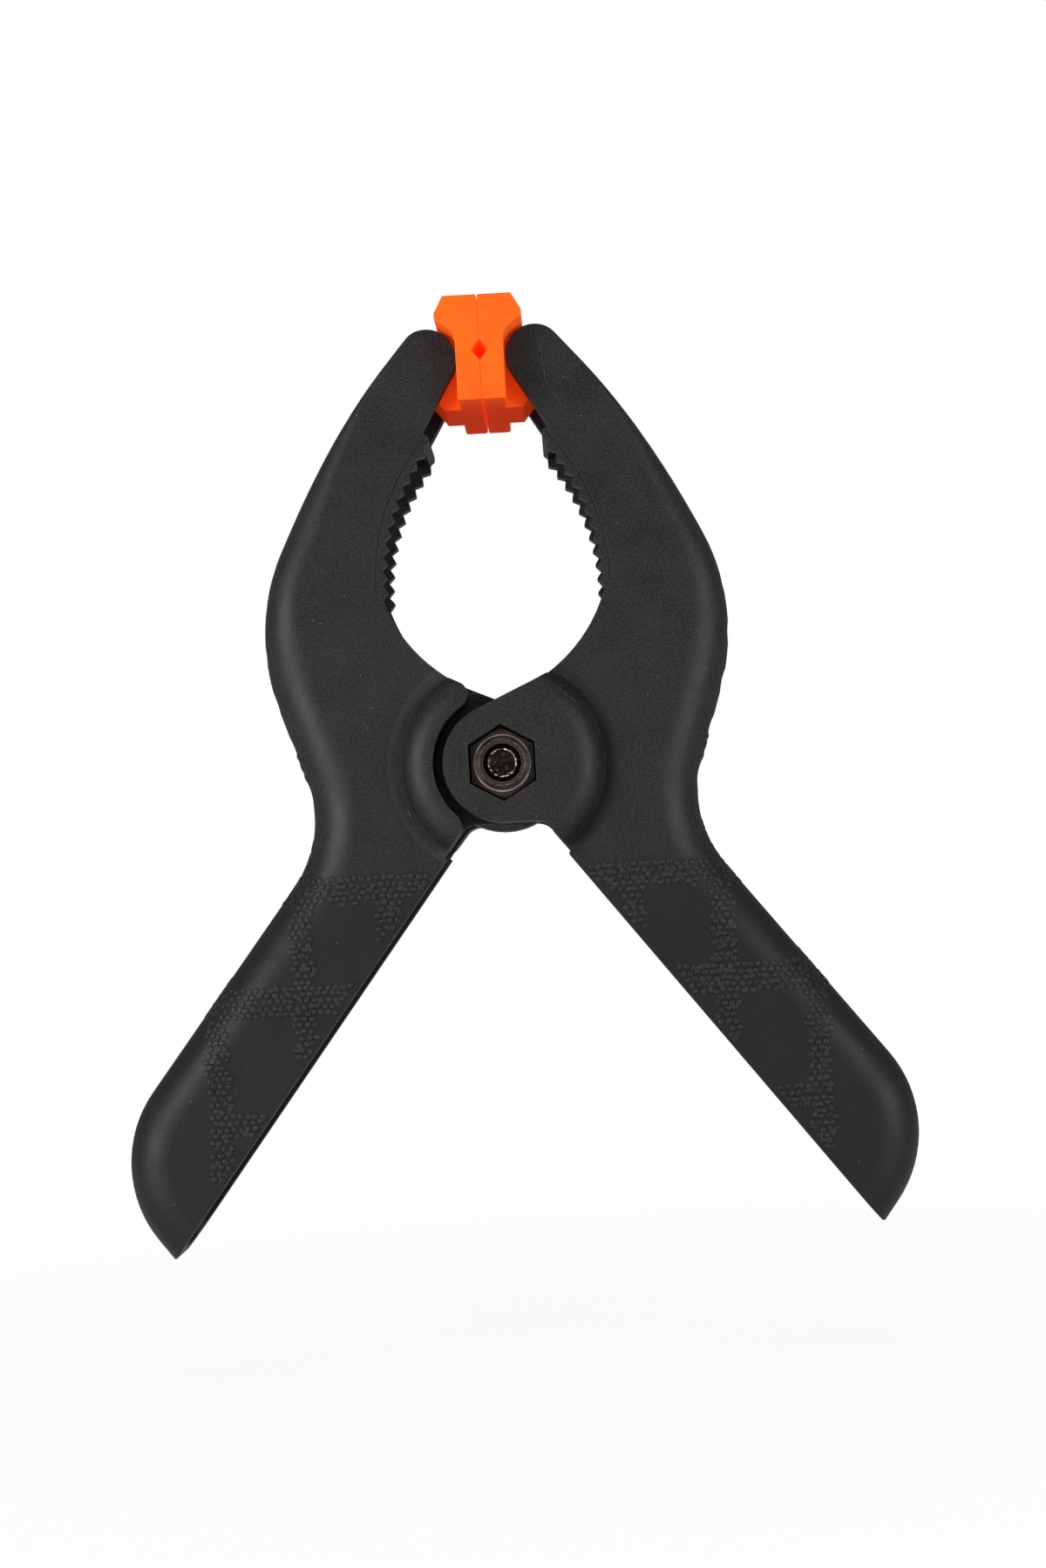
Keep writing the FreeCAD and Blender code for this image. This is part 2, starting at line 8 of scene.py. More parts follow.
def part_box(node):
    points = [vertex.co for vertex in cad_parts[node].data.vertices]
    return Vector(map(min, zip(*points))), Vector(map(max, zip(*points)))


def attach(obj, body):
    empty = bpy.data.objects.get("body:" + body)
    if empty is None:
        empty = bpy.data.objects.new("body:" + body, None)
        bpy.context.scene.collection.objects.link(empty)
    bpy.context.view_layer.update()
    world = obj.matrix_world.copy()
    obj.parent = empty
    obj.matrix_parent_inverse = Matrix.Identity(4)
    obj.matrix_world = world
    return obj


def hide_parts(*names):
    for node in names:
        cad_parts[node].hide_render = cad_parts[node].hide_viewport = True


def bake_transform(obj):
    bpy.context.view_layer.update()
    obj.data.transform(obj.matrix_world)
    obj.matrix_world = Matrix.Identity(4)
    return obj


bl_info = {
    "name": "Spring clamp",
    "version": (1, 0, 0),
    "blender": (4, 5, 0),
    "location": "View3D > Sidebar > Clamp",
    "description": "Dresses the packed spring clamp: arms, grip pattern, jaw pads, pivot and spring",
    "category": "Object",
}

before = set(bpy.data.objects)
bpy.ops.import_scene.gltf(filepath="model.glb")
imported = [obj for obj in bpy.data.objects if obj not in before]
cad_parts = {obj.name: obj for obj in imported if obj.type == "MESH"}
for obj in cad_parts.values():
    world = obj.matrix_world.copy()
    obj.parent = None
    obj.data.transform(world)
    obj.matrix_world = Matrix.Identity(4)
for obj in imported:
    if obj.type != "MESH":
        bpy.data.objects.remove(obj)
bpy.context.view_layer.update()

MM = 0.001
# The pivot axis lies along Y at this height above the handle ends.
PIVOT_Z = (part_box("nut_insert")[0].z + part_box("nut_insert")[1].z) / 2
HALF_TURN = Matrix.Rotation(math.pi, 4, "Z")
# Fine scratches on the front of the arms: start, end and width in millimetres from the pivot.
SCRATCHES = [
    ((9.6, 11.4), (12.2, 9.0), 0.07),
    ((10.4, 14.0), (11.1, 12.7), 0.06),
    ((-15.6, -6.6), (-15.2, -7.8), 0.14),
    ((20.6, -31.0), (20.5, -32.3), 0.08),
    ((9.6, 66.6), (10.2, 60.8), 0.05),
    ((10.2, 60.8), (12.9, 56.2), 0.05),
    ((-14.4, 67.6), (-14.2, 66.2), 0.08),
    ((-22.0, 8.0), (-21.2, 6.4), 0.05),
]


def deselect():
    """Leaves nothing selected, so that the next operator acts only on what is picked for it."""
    if bpy.context.mode != "OBJECT":
        bpy.ops.object.mode_set(mode="OBJECT")
    bpy.ops.object.select_all(action="DESELECT")
    bpy.context.view_layer.objects.active = None


def pick(*pieces):
    """Selects these objects and makes the first one active."""
    deselect()
    for piece in pieces:
        piece.select_set(True)
    bpy.context.view_layer.objects.active = pieces[0]


def settle(piece, name):
    """Names a finished piece and moves its place into its mesh."""
    pick(piece)
    bpy.ops.object.transform_apply(location=True, rotation=True, scale=True)
    piece.name = name
    piece.data.name = name
    deselect()
    return piece


def dress(piece, material):
    """Gives an object this one material."""
    piece.data.materials.clear()
    piece.data.materials.append(material)


class Value:
    """A socket of a material that takes part in plain arithmetic."""

    def __init__(self, finish, socket):
        self.finish = finish
        self.socket = socket

    def math(self, operation, *others):
        """The result of one operation on this value and the others."""
        inputs = dict(enumerate((self,) + others))
        return self.finish.node("ShaderNodeMath", {"operation": operation}, inputs)

    def __add__(self, other):
        return self.math("ADD", other)

    __radd__ = __add__

    def __mul__(self, other):
        return self.math("MULTIPLY", other)

    __rmul__ = __mul__

    def __sub__(self, other):
        return self.math("SUBTRACT", other)

    def __rsub__(self, other):
        return self * -1.0 + other

    def __truediv__(self, other):
        return self.math("DIVIDE", other)

    def __pow__(self, other):
        return self.math("POWER", other)

    def __abs__(self):
        return self.math("ABSOLUTE")


class Finish:
    """The nodes of a material or of the world, all of them added by one method."""

    def __init__(self, owner):
        owner.use_nodes = True
        self.owner = owner
        self.tree = owner.node_tree
        self.tree.nodes.clear()

    def node(self, kind, settings=None, inputs=None, output=0):
        """Adds a node, with its settings first and then its sockets, and gives one output."""
        new = self.tree.nodes.new(kind)
        for key, value in (settings or {}).items():
            setattr(new, key, value)
        for key, value in (inputs or {}).items():
            if isinstance(value, Value):
                self.tree.links.new(value.socket, new.inputs[key])
            else:
                new.inputs[key].default_value = value
        return Value(self, new.outputs[output]) if new.outputs else None

    def place(self):
        """Object coordinates, in metres of the clamp's own frame."""
        return self.node("ShaderNodeTexCoord", output="Object")

    def axes(self, vector):
        """The x, y and z of a vector."""
        first = self.node("ShaderNodeSeparateXYZ", None, {0: vector})
        return [Value(self, socket) for socket in first.socket.node.outputs]

    def noise(self, vector, size, detail=2.0, roughness=0.5):
        """Soft noise from 0 to 1, with features about this many metres across."""
        inputs = {"Vector": vector, "Scale": 1 / size, "Detail": detail, "Roughness": roughness}
        return self.node("ShaderNodeTexNoise", None, inputs)

    def cells(self, vector, size):
        """Distances from scattered points, which lie about this many metres apart."""
        inputs = {"Vector": vector, "Scale": 1 / size}
        return self.node("ShaderNodeTexVoronoi", None, inputs, "Distance")

    def ease(self, value, low, high, start=0.0, end=1.0):
        """Eases a value between two of its levels to the range from start to end."""
        inputs = {"Value": value, "From Min": low, "From Max": high, "To Min": start, "To Max": end}
        return self.node("ShaderNodeMapRange", {"interpolation_type": "SMOOTHSTEP"}, inputs)

    def mix(self, factor, first, second):
        """A colour between two colours."""
        inputs = {0: factor, 6: first, 7: second}
        return self.node("ShaderNodeMix", {"data_type": "RGBA"}, inputs, 2)

    def relief(self, height, strength, depth, edge):
        """A surface normal with fine relief, on edges softened by a small radius."""
        soft = self.node("ShaderNodeBevel", {"samples": 6}, {"Radius": edge})
        inputs = {"Strength": strength, "Distance": depth, "Height": height, "Normal": soft}
        return self.node("ShaderNodeBump", None, inputs)

    def surface(self, inputs):
        """Ends a material in a Principled surface and gives the material."""
        shader = self.node("ShaderNodeBsdfPrincipled", None, inputs)
        self.node("ShaderNodeOutputMaterial", None, {"Surface": shader})
        return self.owner


def new_finish(name):
    """An empty material to build."""
    return Finish(bpy.data.materials.new(name))


def colour(prop, factor=1.0):
    """A colour property, paler or darker by a factor, as the four numbers that a socket takes."""
    return tuple(part * factor for part in prop) + (1.0,)


def off_axis(x, z):
    """The distance from the pivot axis, from two parts of a place."""
    return (x ** 2.0 + (z - PIVOT_Z) ** 2.0) ** 0.5


def streak(finish, x, z, start, end, width):
    """A mask along one fine straight scratch on the front, between two points beside the pivot."""
    ax, az = start[0] * MM, start[1] * MM + PIVOT_Z
    dx, dz = (end[0] - start[0]) * MM, (end[1] - start[1]) * MM
    length = dx * dx + dz * dz
    along = ((x - ax) * dx + (z - az) * dz) / length
    share = along.math("MINIMUM", 1.0).math("MAXIMUM", 0.0)
    away = ((x - ax - share * dx) ** 2.0 + (z - az - share * dz) ** 2.0) ** 0.5
    return finish.ease(away, width * MM, 0.0)


def paint_handle_and_band_light(finish, x, z, arms, shade):
    """Paints shade on the lower handles and on the right band round the hub, and paints light on the
    left band.
    """
    top, full = arms.handle_top
    inner, outer = arms.band
    # Painted shade colour: half the dark tone, laid on the lower handles and the right hub band.
    black = colour(arms.dark, 0.5)
    # Painted shade on the handles, darker towards the bottom.
    handle = finish.ease(z, PIVOT_Z - top, PIVOT_Z - full) * arms.handle_painted_shade
    shade = finish.mix(handle, shade, black)
    radius = off_axis(x, z)
    band = finish.ease(radius, inner, inner + arms.band_edge)
    band = band * finish.ease(radius, outer, outer - arms.band_edge)
    # Painted shade on the right hub band and painted light on the left one, in the dust colour.
    right = finish.ease(x, -1 * MM, 1 * MM)
    shade = finish.mix(band * right * arms.band_painted_shade, shade, black)
    return finish.mix(band * (1.0 - right) * arms.band_painted_light, shade, colour(arms.dust))


def add_scratches(finish, place, arms, dust):
    """Adds the scratches of the front to a mask of dust."""
    x, y, z = finish.axes(place)
    front = finish.ease(y, arms.front + 1 * MM, arms.front)
    broken = finish.ease(finish.noise(place, 0.6 * MM, 2.0), 0.38, 0.5)
    for start, end, width in SCRATCHES:
        mark = streak(finish, x, z, start, end, width) * front * broken
        dust = dust.math("MAXIMUM", mark * 0.55)
    return dust


def moulded_black(name, arms, whole, pale=1.0):
    """Matte charcoal moulding with a fine mottled grain and pale dust specks.

    The whole arm also has painted shade on its lower handles, painted shade and painted light on the
    bands round the hub, and a few scratches.
    """
    finish = new_finish(name)
    place = finish.place()
    grain = finish.noise(place, arms.grain_size, 2.0, 0.65)
    cloud = finish.noise(place, arms.cloud_size, 3.0, 0.5)
    tone = finish.ease(grain * 0.85 + cloud * 0.15, 0.4, 0.62)
    # A pale factor above 1 is painted light: it makes a paler, lit copy of the black.
    shade = finish.mix(tone, colour(arms.dark), colour(arms.light, pale))
    dust = finish.ease(finish.cells(place, arms.dust_spacing), 0.035, 0.02)
    if whole:
        x, y, z = finish.axes(place)
        # Painted shade on the lower handles and the right hub band, painted light on the left hub
        # band.
        shade = paint_handle_and_band_light(finish, x, z, arms, shade)
        dust = add_scratches(finish, place, arms, dust)
    shade = finish.mix(dust * 0.8, shade, colour(arms.dust))
    return finish.surface({
        "Base Color": shade,
        "Roughness": finish.ease(cloud * 0.5 + grain * 0.5, 0.3, 0.7, 0.46, 0.6),
        "Specular IOR Level": 0.36,
        "Normal": finish.relief(grain, arms.grain_strength, arms.grain_depth, arms.edge),
    })


class StageSizes(bpy.types.PropertyGroup):
    """Camera, floor and lamps."""

    eye: bpy.props.FloatVectorProperty(
        name="Eye", description="Place of the camera beside the pivot",
        default=(0.01113, -0.3935, -0.02222), subtype="TRANSLATION", unit="LENGTH",
        precision=5)
    roll: bpy.props.FloatProperty(
        name="Roll", description="Lean of the camera to the right",
        default=math.radians(3.162), subtype="ANGLE")
    shift: bpy.props.FloatVectorProperty(
        name="Shift", description="Sideways and upward shift of the lens, as a share of the long side",
        default=(-0.0364, 0.0732), size=2, precision=4)
    lens: bpy.props.FloatProperty(
        name="Lens", description="Focal length for a long side of 36 mm",
        default=55.2, min=10.0, max=200.0)
    floor: bpy.props.FloatVectorProperty(
        name="Floor", description="Colour of the floor and backdrop",
        default=(0.92, 0.92, 0.92), subtype="COLOR", min=0.0, max=1.0)
    floor_drop: bpy.props.FloatProperty(
        name="Floor drop", description="How far the floor lies below, clear of a handle that swings",
        default=20.5 * MM, unit="LENGTH", precision=4)
    surround: bpy.props.FloatProperty(
        name="Surround", description="Strength of the even light from all round",
        default=0.255, min=0.0, max=1.0)
    floor_seen: bpy.props.FloatProperty(
        name="Floor seen", description="Share of plain white in the floor under the clamp",
        default=0.92, min=0.0, max=1.0)
    haze: bpy.props.FloatVectorProperty(
        name="Haze", description="Distances at which the floor starts to pale and is white",
        default=(0.06, 0.34), size=2, unit="LENGTH")
    left_lamp: bpy.props.FloatProperty(
        name="Left lamp", description="Power of the lamp on the left in watts", default=3.3,
        min=0.0)
    right_lamp: bpy.props.FloatProperty(
        name="Right lamp", description="Power of the lamp on the right in watts", default=2.4,
        min=0.0)
    top_lamp: bpy.props.FloatProperty(
        name="Top lamp", description="Power of the lamp above in watts", default=1.6, min=0.0)


class ArmSizes(bpy.types.PropertyGroup):
    """The black moulding of the two arms."""

    dark: bpy.props.FloatVectorProperty(
        name="Dark", description="Darker tone of the mottled black",
        default=(0.0035, 0.0035, 0.004), subtype="COLOR", min=0.0, max=1.0)
    light: bpy.props.FloatVectorProperty(
        name="Light", description="Lighter tone of the mottled black",
        default=(0.0185, 0.0181, 0.0187), subtype="COLOR", min=0.0, max=1.0)
    # Also the colour of the painted light on the left hub band.
    dust: bpy.props.FloatVectorProperty(
        name="Dust", description="Colour of dust specks and scratches",
        default=(0.22, 0.2, 0.17), subtype="COLOR", min=0.0, max=1.0)
    dust_spacing: bpy.props.FloatProperty(
        name="Dust spacing", description="Distance between dust specks in the moulding",
        default=3.1 * MM, unit="LENGTH", precision=5)
    grain_size: bpy.props.FloatProperty(
        name="Grain size", description="Size of the fine grain",
        default=0.32 * MM, unit="LENGTH", precision=5)
    grain_depth: bpy.props.FloatProperty(
        name="Grain depth", description="Depth of the fine grain",
        default=0.03 * MM, unit="LENGTH", precision=6)
    # Painted shade: how much darker the lower handles are painted.
    handle_painted_shade: bpy.props.FloatProperty(
        name="Handle shade", description="How much darker the polished fields of the handles are",
        default=0.8, min=0.0, max=1.0)
    # Where the painted shade of the handles starts and where it is full.
    handle_top: bpy.props.FloatVectorProperty(
        name="Handle top", description="How far below the pivot the handles darken, from and to",
        default=(12 * MM, 24 * MM), size=2, unit="LENGTH", precision=4)
    # The hub bands carry painted shade on the right and painted light on the left.
    band: bpy.props.FloatVectorProperty(
        name="Hub band", description="Inner and outer radius of the bands round the hub",
        default=(16.2 * MM, 18.7 * MM), size=2, unit="LENGTH", precision=5)
    band_edge: bpy.props.FloatProperty(
        name="Band edge", description="Width of the soft edges of the bands",
        default=0.4 * MM, unit="LENGTH", precision=5)
    # Painted shade on the right band round the hub.
    band_painted_shade: bpy.props.FloatProperty(
        name="Band shade", description="How much darker the right band is",
        default=0.75, min=0.0, max=1.0)
    # Painted light on the left band round the hub, in the dust colour.
    band_painted_light: bpy.props.FloatProperty(
        name="Band dust", description="How dusty the left band is", default=0.07, min=0.0, max=1.0)
    front: bpy.props.FloatProperty(
        name="Front", description="Level in front of which the scratches lie",
        default=-8 * MM, unit="LENGTH", precision=4)
    grain_strength: bpy.props.FloatProperty(
        name="Grain strength", description="How strongly the grain shades", default=0.8)
    cloud_size: bpy.props.FloatProperty(
        name="Cloud size", description="Size of the slow changes of tone",
        default=7 * MM, unit="LENGTH", precision=4)
    edge: bpy.props.FloatProperty(
        name="Edge", description="Radius that softens the moulded edges",
        default=0.22 * MM, unit="LENGTH", precision=5)


class GripSizes(bpy.types.PropertyGroup):
    """The pebbled strips of the handles."""

    pebble: bpy.props.FloatProperty(
        name="Pebble", description="Usual diameter of a pebble",
        default=1.12 * MM, unit="LENGTH", precision=5)
    spacing: bpy.props.FloatProperty(
        name="Spacing", description="Distance between the pebbles of a row",
        default=1.16 * MM, unit="LENGTH", precision=5)
    height: bpy.props.FloatProperty(
        name="Height", description="How far a pebble stands out of the handle",
        default=0.24 * MM, unit="LENGTH", precision=5)
    strip: bpy.props.FloatProperty(
        name="Strip", description="Width of a level strip", default=4.6 * MM, unit="LENGTH",
        precision=5)
    column: bpy.props.FloatProperty(
        name="Column", description="Width of an upright strip", default=3.9 * MM, unit="LENGTH",
        precision=5)
    margin: bpy.props.FloatProperty(
        name="Margin", description="Smooth margin along the rim", default=0.75 * MM,
        unit="LENGTH", precision=5)
    side_limit: bpy.props.FloatProperty(
        name="Side limit", description="How squarely a face has to look sideways to be a cheek",
        default=0.72, min=0.0, max=1.0)
    # Painted light: the pebbles are a paler copy of the arms' black.
    pale: bpy.props.FloatProperty(
        name="Pale", description="How much paler than the arms the pebbles are", default=1.3,
        min=0.0)


class PadSizes(bpy.types.PropertyGroup):
    """The orange jaw pads."""

    orange: bpy.props.FloatVectorProperty(
        name="Orange", description="Colour of the pads",
        default=(1.0, 0.125, 0.008), subtype="COLOR", min=0.0, max=1.0)
    deep: bpy.props.FloatVectorProperty(
        name="Deep orange", description="Slightly deeper tone of the pads",
        default=(0.95, 0.095, 0.006), subtype="COLOR", min=0.0, max=1.0)
    # Painted shade on the pads' undersides.
    painted_underside_shade: bpy.props.FloatVectorProperty(
        name="Under", description="Deeper red of the pads' undersides", default=(0.6, 0.021, 0.003),
        subtype="COLOR", min=0.0, max=1.0)
    # Painted light: this glow and the glow settings below are light that the pads emit.
    glow: bpy.props.FloatVectorProperty(
        name="Glow", description="Light that shines through the clear orange plastic at its front",
        default=(1.0, 0.17, 0.01), subtype="COLOR", min=0.0, max=1.0)
    painted_glow_inside: bpy.props.FloatVectorProperty(
        name="Glow inside", description="Redder light deeper in the plastic",
        default=(1.0, 0.05, 0.004), subtype="COLOR", min=0.0, max=1.0)
    painted_glow_start: bpy.props.FloatProperty(
        name="Glow start", description="Place across the clamp where the glow turns redder",
        default=-12.5 * MM, unit="LENGTH", precision=4)
    painted_glow_end: bpy.props.FloatProperty(
        name="Glow end", description="Place across the clamp where the glow is red",
        default=-8.0 * MM, unit="LENGTH", precision=4)
    painted_glow_strength: bpy.props.FloatProperty(
        name="Glow strength", description="Strength of the light in the plastic", default=0.2,
        min=0.0)
    cloud_size: bpy.props.FloatProperty(
        name="Cloud size", description="Size of the slow changes of tone",
        default=4 * MM, unit="LENGTH", precision=4)
    grain_size: bpy.props.FloatProperty(
        name="Grain size", description="Size of the fine grain",
        default=0.35 * MM, unit="LENGTH", precision=5)
    mark: bpy.props.FloatVectorProperty(
        name="Mark", description="Colour of the small darker marks", default=(0.5, 0.05, 0.006),
        subtype="COLOR", min=0.0, max=1.0)
    mark_spacing: bpy.props.FloatProperty(
        name="Mark spacing", description="Distance between small darker marks",
        default=3.4 * MM, unit="LENGTH", precision=4)
    edge: bpy.props.FloatProperty(
        name="Edge", description="Radius that softens the pads' edges",
        default=0.3 * MM, unit="LENGTH", precision=5)


class PivotSizes(bpy.types.PropertyGroup):
    """The lock nut, the bolt and the ring in the nut."""

    steel: bpy.props.FloatVectorProperty(
        name="Steel", description="Blackened steel", default=(0.03, 0.022, 0.016),
        subtype="COLOR", min=0.0, max=1.0)
    corner: bpy.props.FloatVectorProperty(
        name="Corner", description="Browner steel of the nut's corners", default=(0.125, 0.09, 0.068),
        subtype="COLOR", min=0.0, max=1.0)
    # Colour of the painted highlights on the nut's rings and the bolt's rim.
    painted_highlight: bpy.props.FloatVectorProperty(
        name="Worn steel", description="Bright worn edges", default=(0.8, 0.78, 0.76),
        subtype="COLOR", min=0.0, max=1.0)
    rust: bpy.props.FloatVectorProperty(
        name="Rust", description="Specks on the bolt's end", default=(0.2, 0.085, 0.04),
        subtype="COLOR", min=0.0, max=1.0)
    # Painted shade in the nut's recess.
    black: bpy.props.FloatVectorProperty(
        name="Black", description="Black of the nut's recess", default=(0.008, 0.007, 0.006),
        subtype="COLOR", min=0.0, max=1.0)
    oil: bpy.props.FloatVectorProperty(
        name="Oil", description="Oily black of the bolt's end", default=(0.004, 0.0035, 0.003),
        subtype="COLOR", min=0.0, max=1.0)
    insert_dark: bpy.props.FloatVectorProperty(
        name="Insert dark", description="Darker tone of the ring in the nut",
        default=(0.008, 0.008, 0.008), subtype="COLOR", min=0.0, max=1.0)
    insert_light: bpy.props.FloatVectorProperty(
        name="Insert light", description="Lighter tone of the ring in the nut",
        default=(0.03, 0.027, 0.024), subtype="COLOR", min=0.0, max=1.0)
    # The outer and inner rings are painted highlights on the nut.
    outer_ring: bpy.props.FloatProperty(
        name="Outer ring", description="Radius of the worn ring at the nut's corners",
        default=4.42 * MM, unit="LENGTH", precision=5)
    inner_ring: bpy.props.FloatProperty(
        name="Inner ring", description="Radius of the worn ring at the mouth of the roll",
        default=3.6 * MM, unit="LENGTH", precision=5)
    outer_width: bpy.props.FloatProperty(
        name="Outer ring's width", description="How far the outer ring reaches to each side",
        default=0.2 * MM, unit="LENGTH", precision=5)
    inner_width: bpy.props.FloatProperty(
        name="Inner ring's width", description="How far the inner ring reaches to each side",
        default=0.1 * MM, unit="LENGTH", precision=5)
    # Where the painted shade of the nut's recess starts and where it is full.
    recess: bpy.props.FloatVectorProperty(
        name="Recess", description="Radii between which the nut's steel turns black inwards",
        default=(3.75 * MM, 3.45 * MM), size=2, unit="LENGTH", precision=5)
    front: bpy.props.FloatProperty(
        name="Front", description="Level of the nut's front face", default=-13.2 * MM,
        unit="LENGTH", precision=5)
    # How deep the nut's painted highlights reach.
    painted_highlight_depth: bpy.props.FloatVectorProperty(
        name="Worn depth", description="How far behind the nut's front the wear stops, to and from",
        default=(2.2 * MM, 1.8 * MM), size=2, unit="LENGTH", precision=5)
    # The bolt's rim is a painted highlight.
    bolt_rim: bpy.props.FloatProperty(
        name="Bolt's rim", description="Radius of the worn rim on the bolt's end",
        default=2.18 * MM, unit="LENGTH", precision=5)
    rim_width: bpy.props.FloatProperty(
        name="Rim's width", description="How far the bolt's worn rim reaches to each side",
        default=0.14 * MM, unit="LENGTH", precision=5)


class SpringSizes(bpy.types.PropertyGroup):
    """The torsion spring."""

    wire: bpy.props.FloatProperty(
        name="Wire", description="Diameter of the wire", default=2.6 * MM, unit="LENGTH",
        precision=4)
    coil: bpy.props.FloatProperty(
        name="Coil", description="Radius of the coil to the middle of the wire",
        default=9.4 * MM, unit="LENGTH", precision=4)
    pitch: bpy.props.FloatProperty(
        name="Pitch", description="Distance between turns", default=2.72 * MM, unit="LENGTH",
        precision=5)
    leg: bpy.props.FloatProperty(
        name="Leg", description="Length of a straight leg", default=40 * MM, unit="LENGTH",
        precision=4)
    leg_angle: bpy.props.FloatProperty(
        name="Leg angle", description="Direction of the right leg above level",
        default=math.radians(-47.296), subtype="ANGLE")
    steel: bpy.props.FloatVectorProperty(
        name="Steel", description="Oiled spring wire", default=(0.03, 0.03, 0.032),
        subtype="COLOR", min=0.0, max=1.0)


class BuildStage(bpy.types.Operator):
    """Sets the camera, the pale floor and the soft lamps"""

    bl_idname = "clamp.stage"
    bl_label = "Stage"

    # Each lamp by the name of its power, its place beside the pivot, its width and its tint.
    lamps = (
        ("left_lamp", (-0.52, -0.46, 0.06), 0.34, (1.0, 0.98, 0.95)),
        ("right_lamp", (0.52, -0.46, 0.04), 0.34, (0.92, 0.96, 1.0)),
        ("top_lamp", (0.0, -0.12, 0.7), 0.5, (1.0, 1.0, 1.0)),
    )

    def execute(self, context):
        sizes = context.scene.clamp_stage
        self.add_camera(sizes)
        self.add_floor(sizes)
        self.add_world(sizes)
        self.add_lamps(sizes)
        context.scene.view_settings.view_transform = "Standard"
        return {"FINISHED"}

    def add_lamps(self, sizes):
        """Square lamps that face the pivot."""
        for name, place, size, tint in self.lamps:
            lamp = bpy.data.lights.new(name, "AREA")
            lamp.shape = "SQUARE"
            lamp.size = size
            lamp.energy = getattr(sizes, name)
            lamp.color = tint
            holder = bpy.data.objects.new(name, lamp)
            bpy.context.scene.collection.objects.link(holder)
            holder.location = Vector((0, 0, PIVOT_Z)) + Vector(place)
            holder.rotation_euler = Vector(place).to_track_quat("Z", "Y").to_euler()

    def add_camera(self, sizes):
        """A level camera that leans a little, with its lens shifted towards the clamp."""
        camera = bpy.data.objects.new("camera", bpy.data.cameras.new("camera"))
        bpy.context.scene.collection.objects.link(camera)
        camera.data.lens = sizes.lens
        camera.data.sensor_width = 36.0
        camera.data.shift_x, camera.data.shift_y = sizes.shift
        turn = Matrix.Rotation(math.pi / 2, 4, "X") @ Matrix.Rotation(-sizes.roll, 4, "Z")
        eye = Vector(sizes.eye) + Vector((0, 0, PIVOT_Z))
        camera.matrix_world = Matrix.Translation(eye) @ turn
        camera.data.clip_start = 0.01
        camera.data.clip_end = 50.0
        bpy.context.scene.camera = camera

    def add_floor(self, sizes):
        """A pale floor that turns white with distance, so that no horizon shows."""
        bpy.ops.mesh.primitive_plane_add(size=8.0, location=(0, 0, -sizes.floor_drop))
        floor = settle(bpy.context.active_object, "floor")
        finish = new_finish("pale_floor")
        paint = finish.node("ShaderNodeBsdfDiffuse", None, {"Color": colour(sizes.floor)})
        glow = finish.node("ShaderNodeEmission", None, {"Strength": 1.0})
        x, y, z = finish.axes(finish.place())
        away = (x ** 2.0 + y ** 2.0) ** 0.5
        near, far = sizes.haze
        seen = self.seen_rays(finish) * finish.ease(away, near, far, sizes.floor_seen, 1.0)
        shader = finish.node("ShaderNodeMixShader", None, {0: seen, 1: paint, 2: glow})
        finish.node("ShaderNodeOutputMaterial", None, {"Surface": shader})
        dress(floor, finish.owner)

    def add_world(self, sizes):
        """Even light from all round, which the camera sees as white."""
        world = bpy.data.worlds.new("studio")
        bpy.context.scene.world = world
        finish = Finish(world)
        white = finish.node("ShaderNodeBackground", None, {"Color": (1, 1, 1, 1), "Strength": 1.0})
        even = {"Color": (1, 1, 1, 1), "Strength": sizes.surround}
        even = finish.node("ShaderNodeBackground", None, even)
        seen = finish.node("ShaderNodeLightPath", output="Is Camera Ray")
        shader = finish.node("ShaderNodeMixShader", None, {0: seen, 1: even, 2: white})
        finish.node("ShaderNodeOutputWorld", None, {"Surface": shader})

    def seen_rays(self, finish):
        """1 where the camera sees the surface, straight or through a clear body."""
        camera = finish.node("ShaderNodeLightPath", output="Is Camera Ray")
        clear = finish.node("ShaderNodeLightPath", output="Is Transmission Ray")
        return camera.math("MAXIMUM", clear)


class DressArms(bpy.types.Operator):
    """Gives both arms their moulded black"""

    bl_idname = "clamp.arms"
    bl_label = "Arms"

    def execute(self, context):
        black = moulded_black("moulded_black", context.scene.clamp_arms, True)
        for node in ("left_arm", "right_arm"):
            dress(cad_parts[node], black)
        return {"FINISHED"}


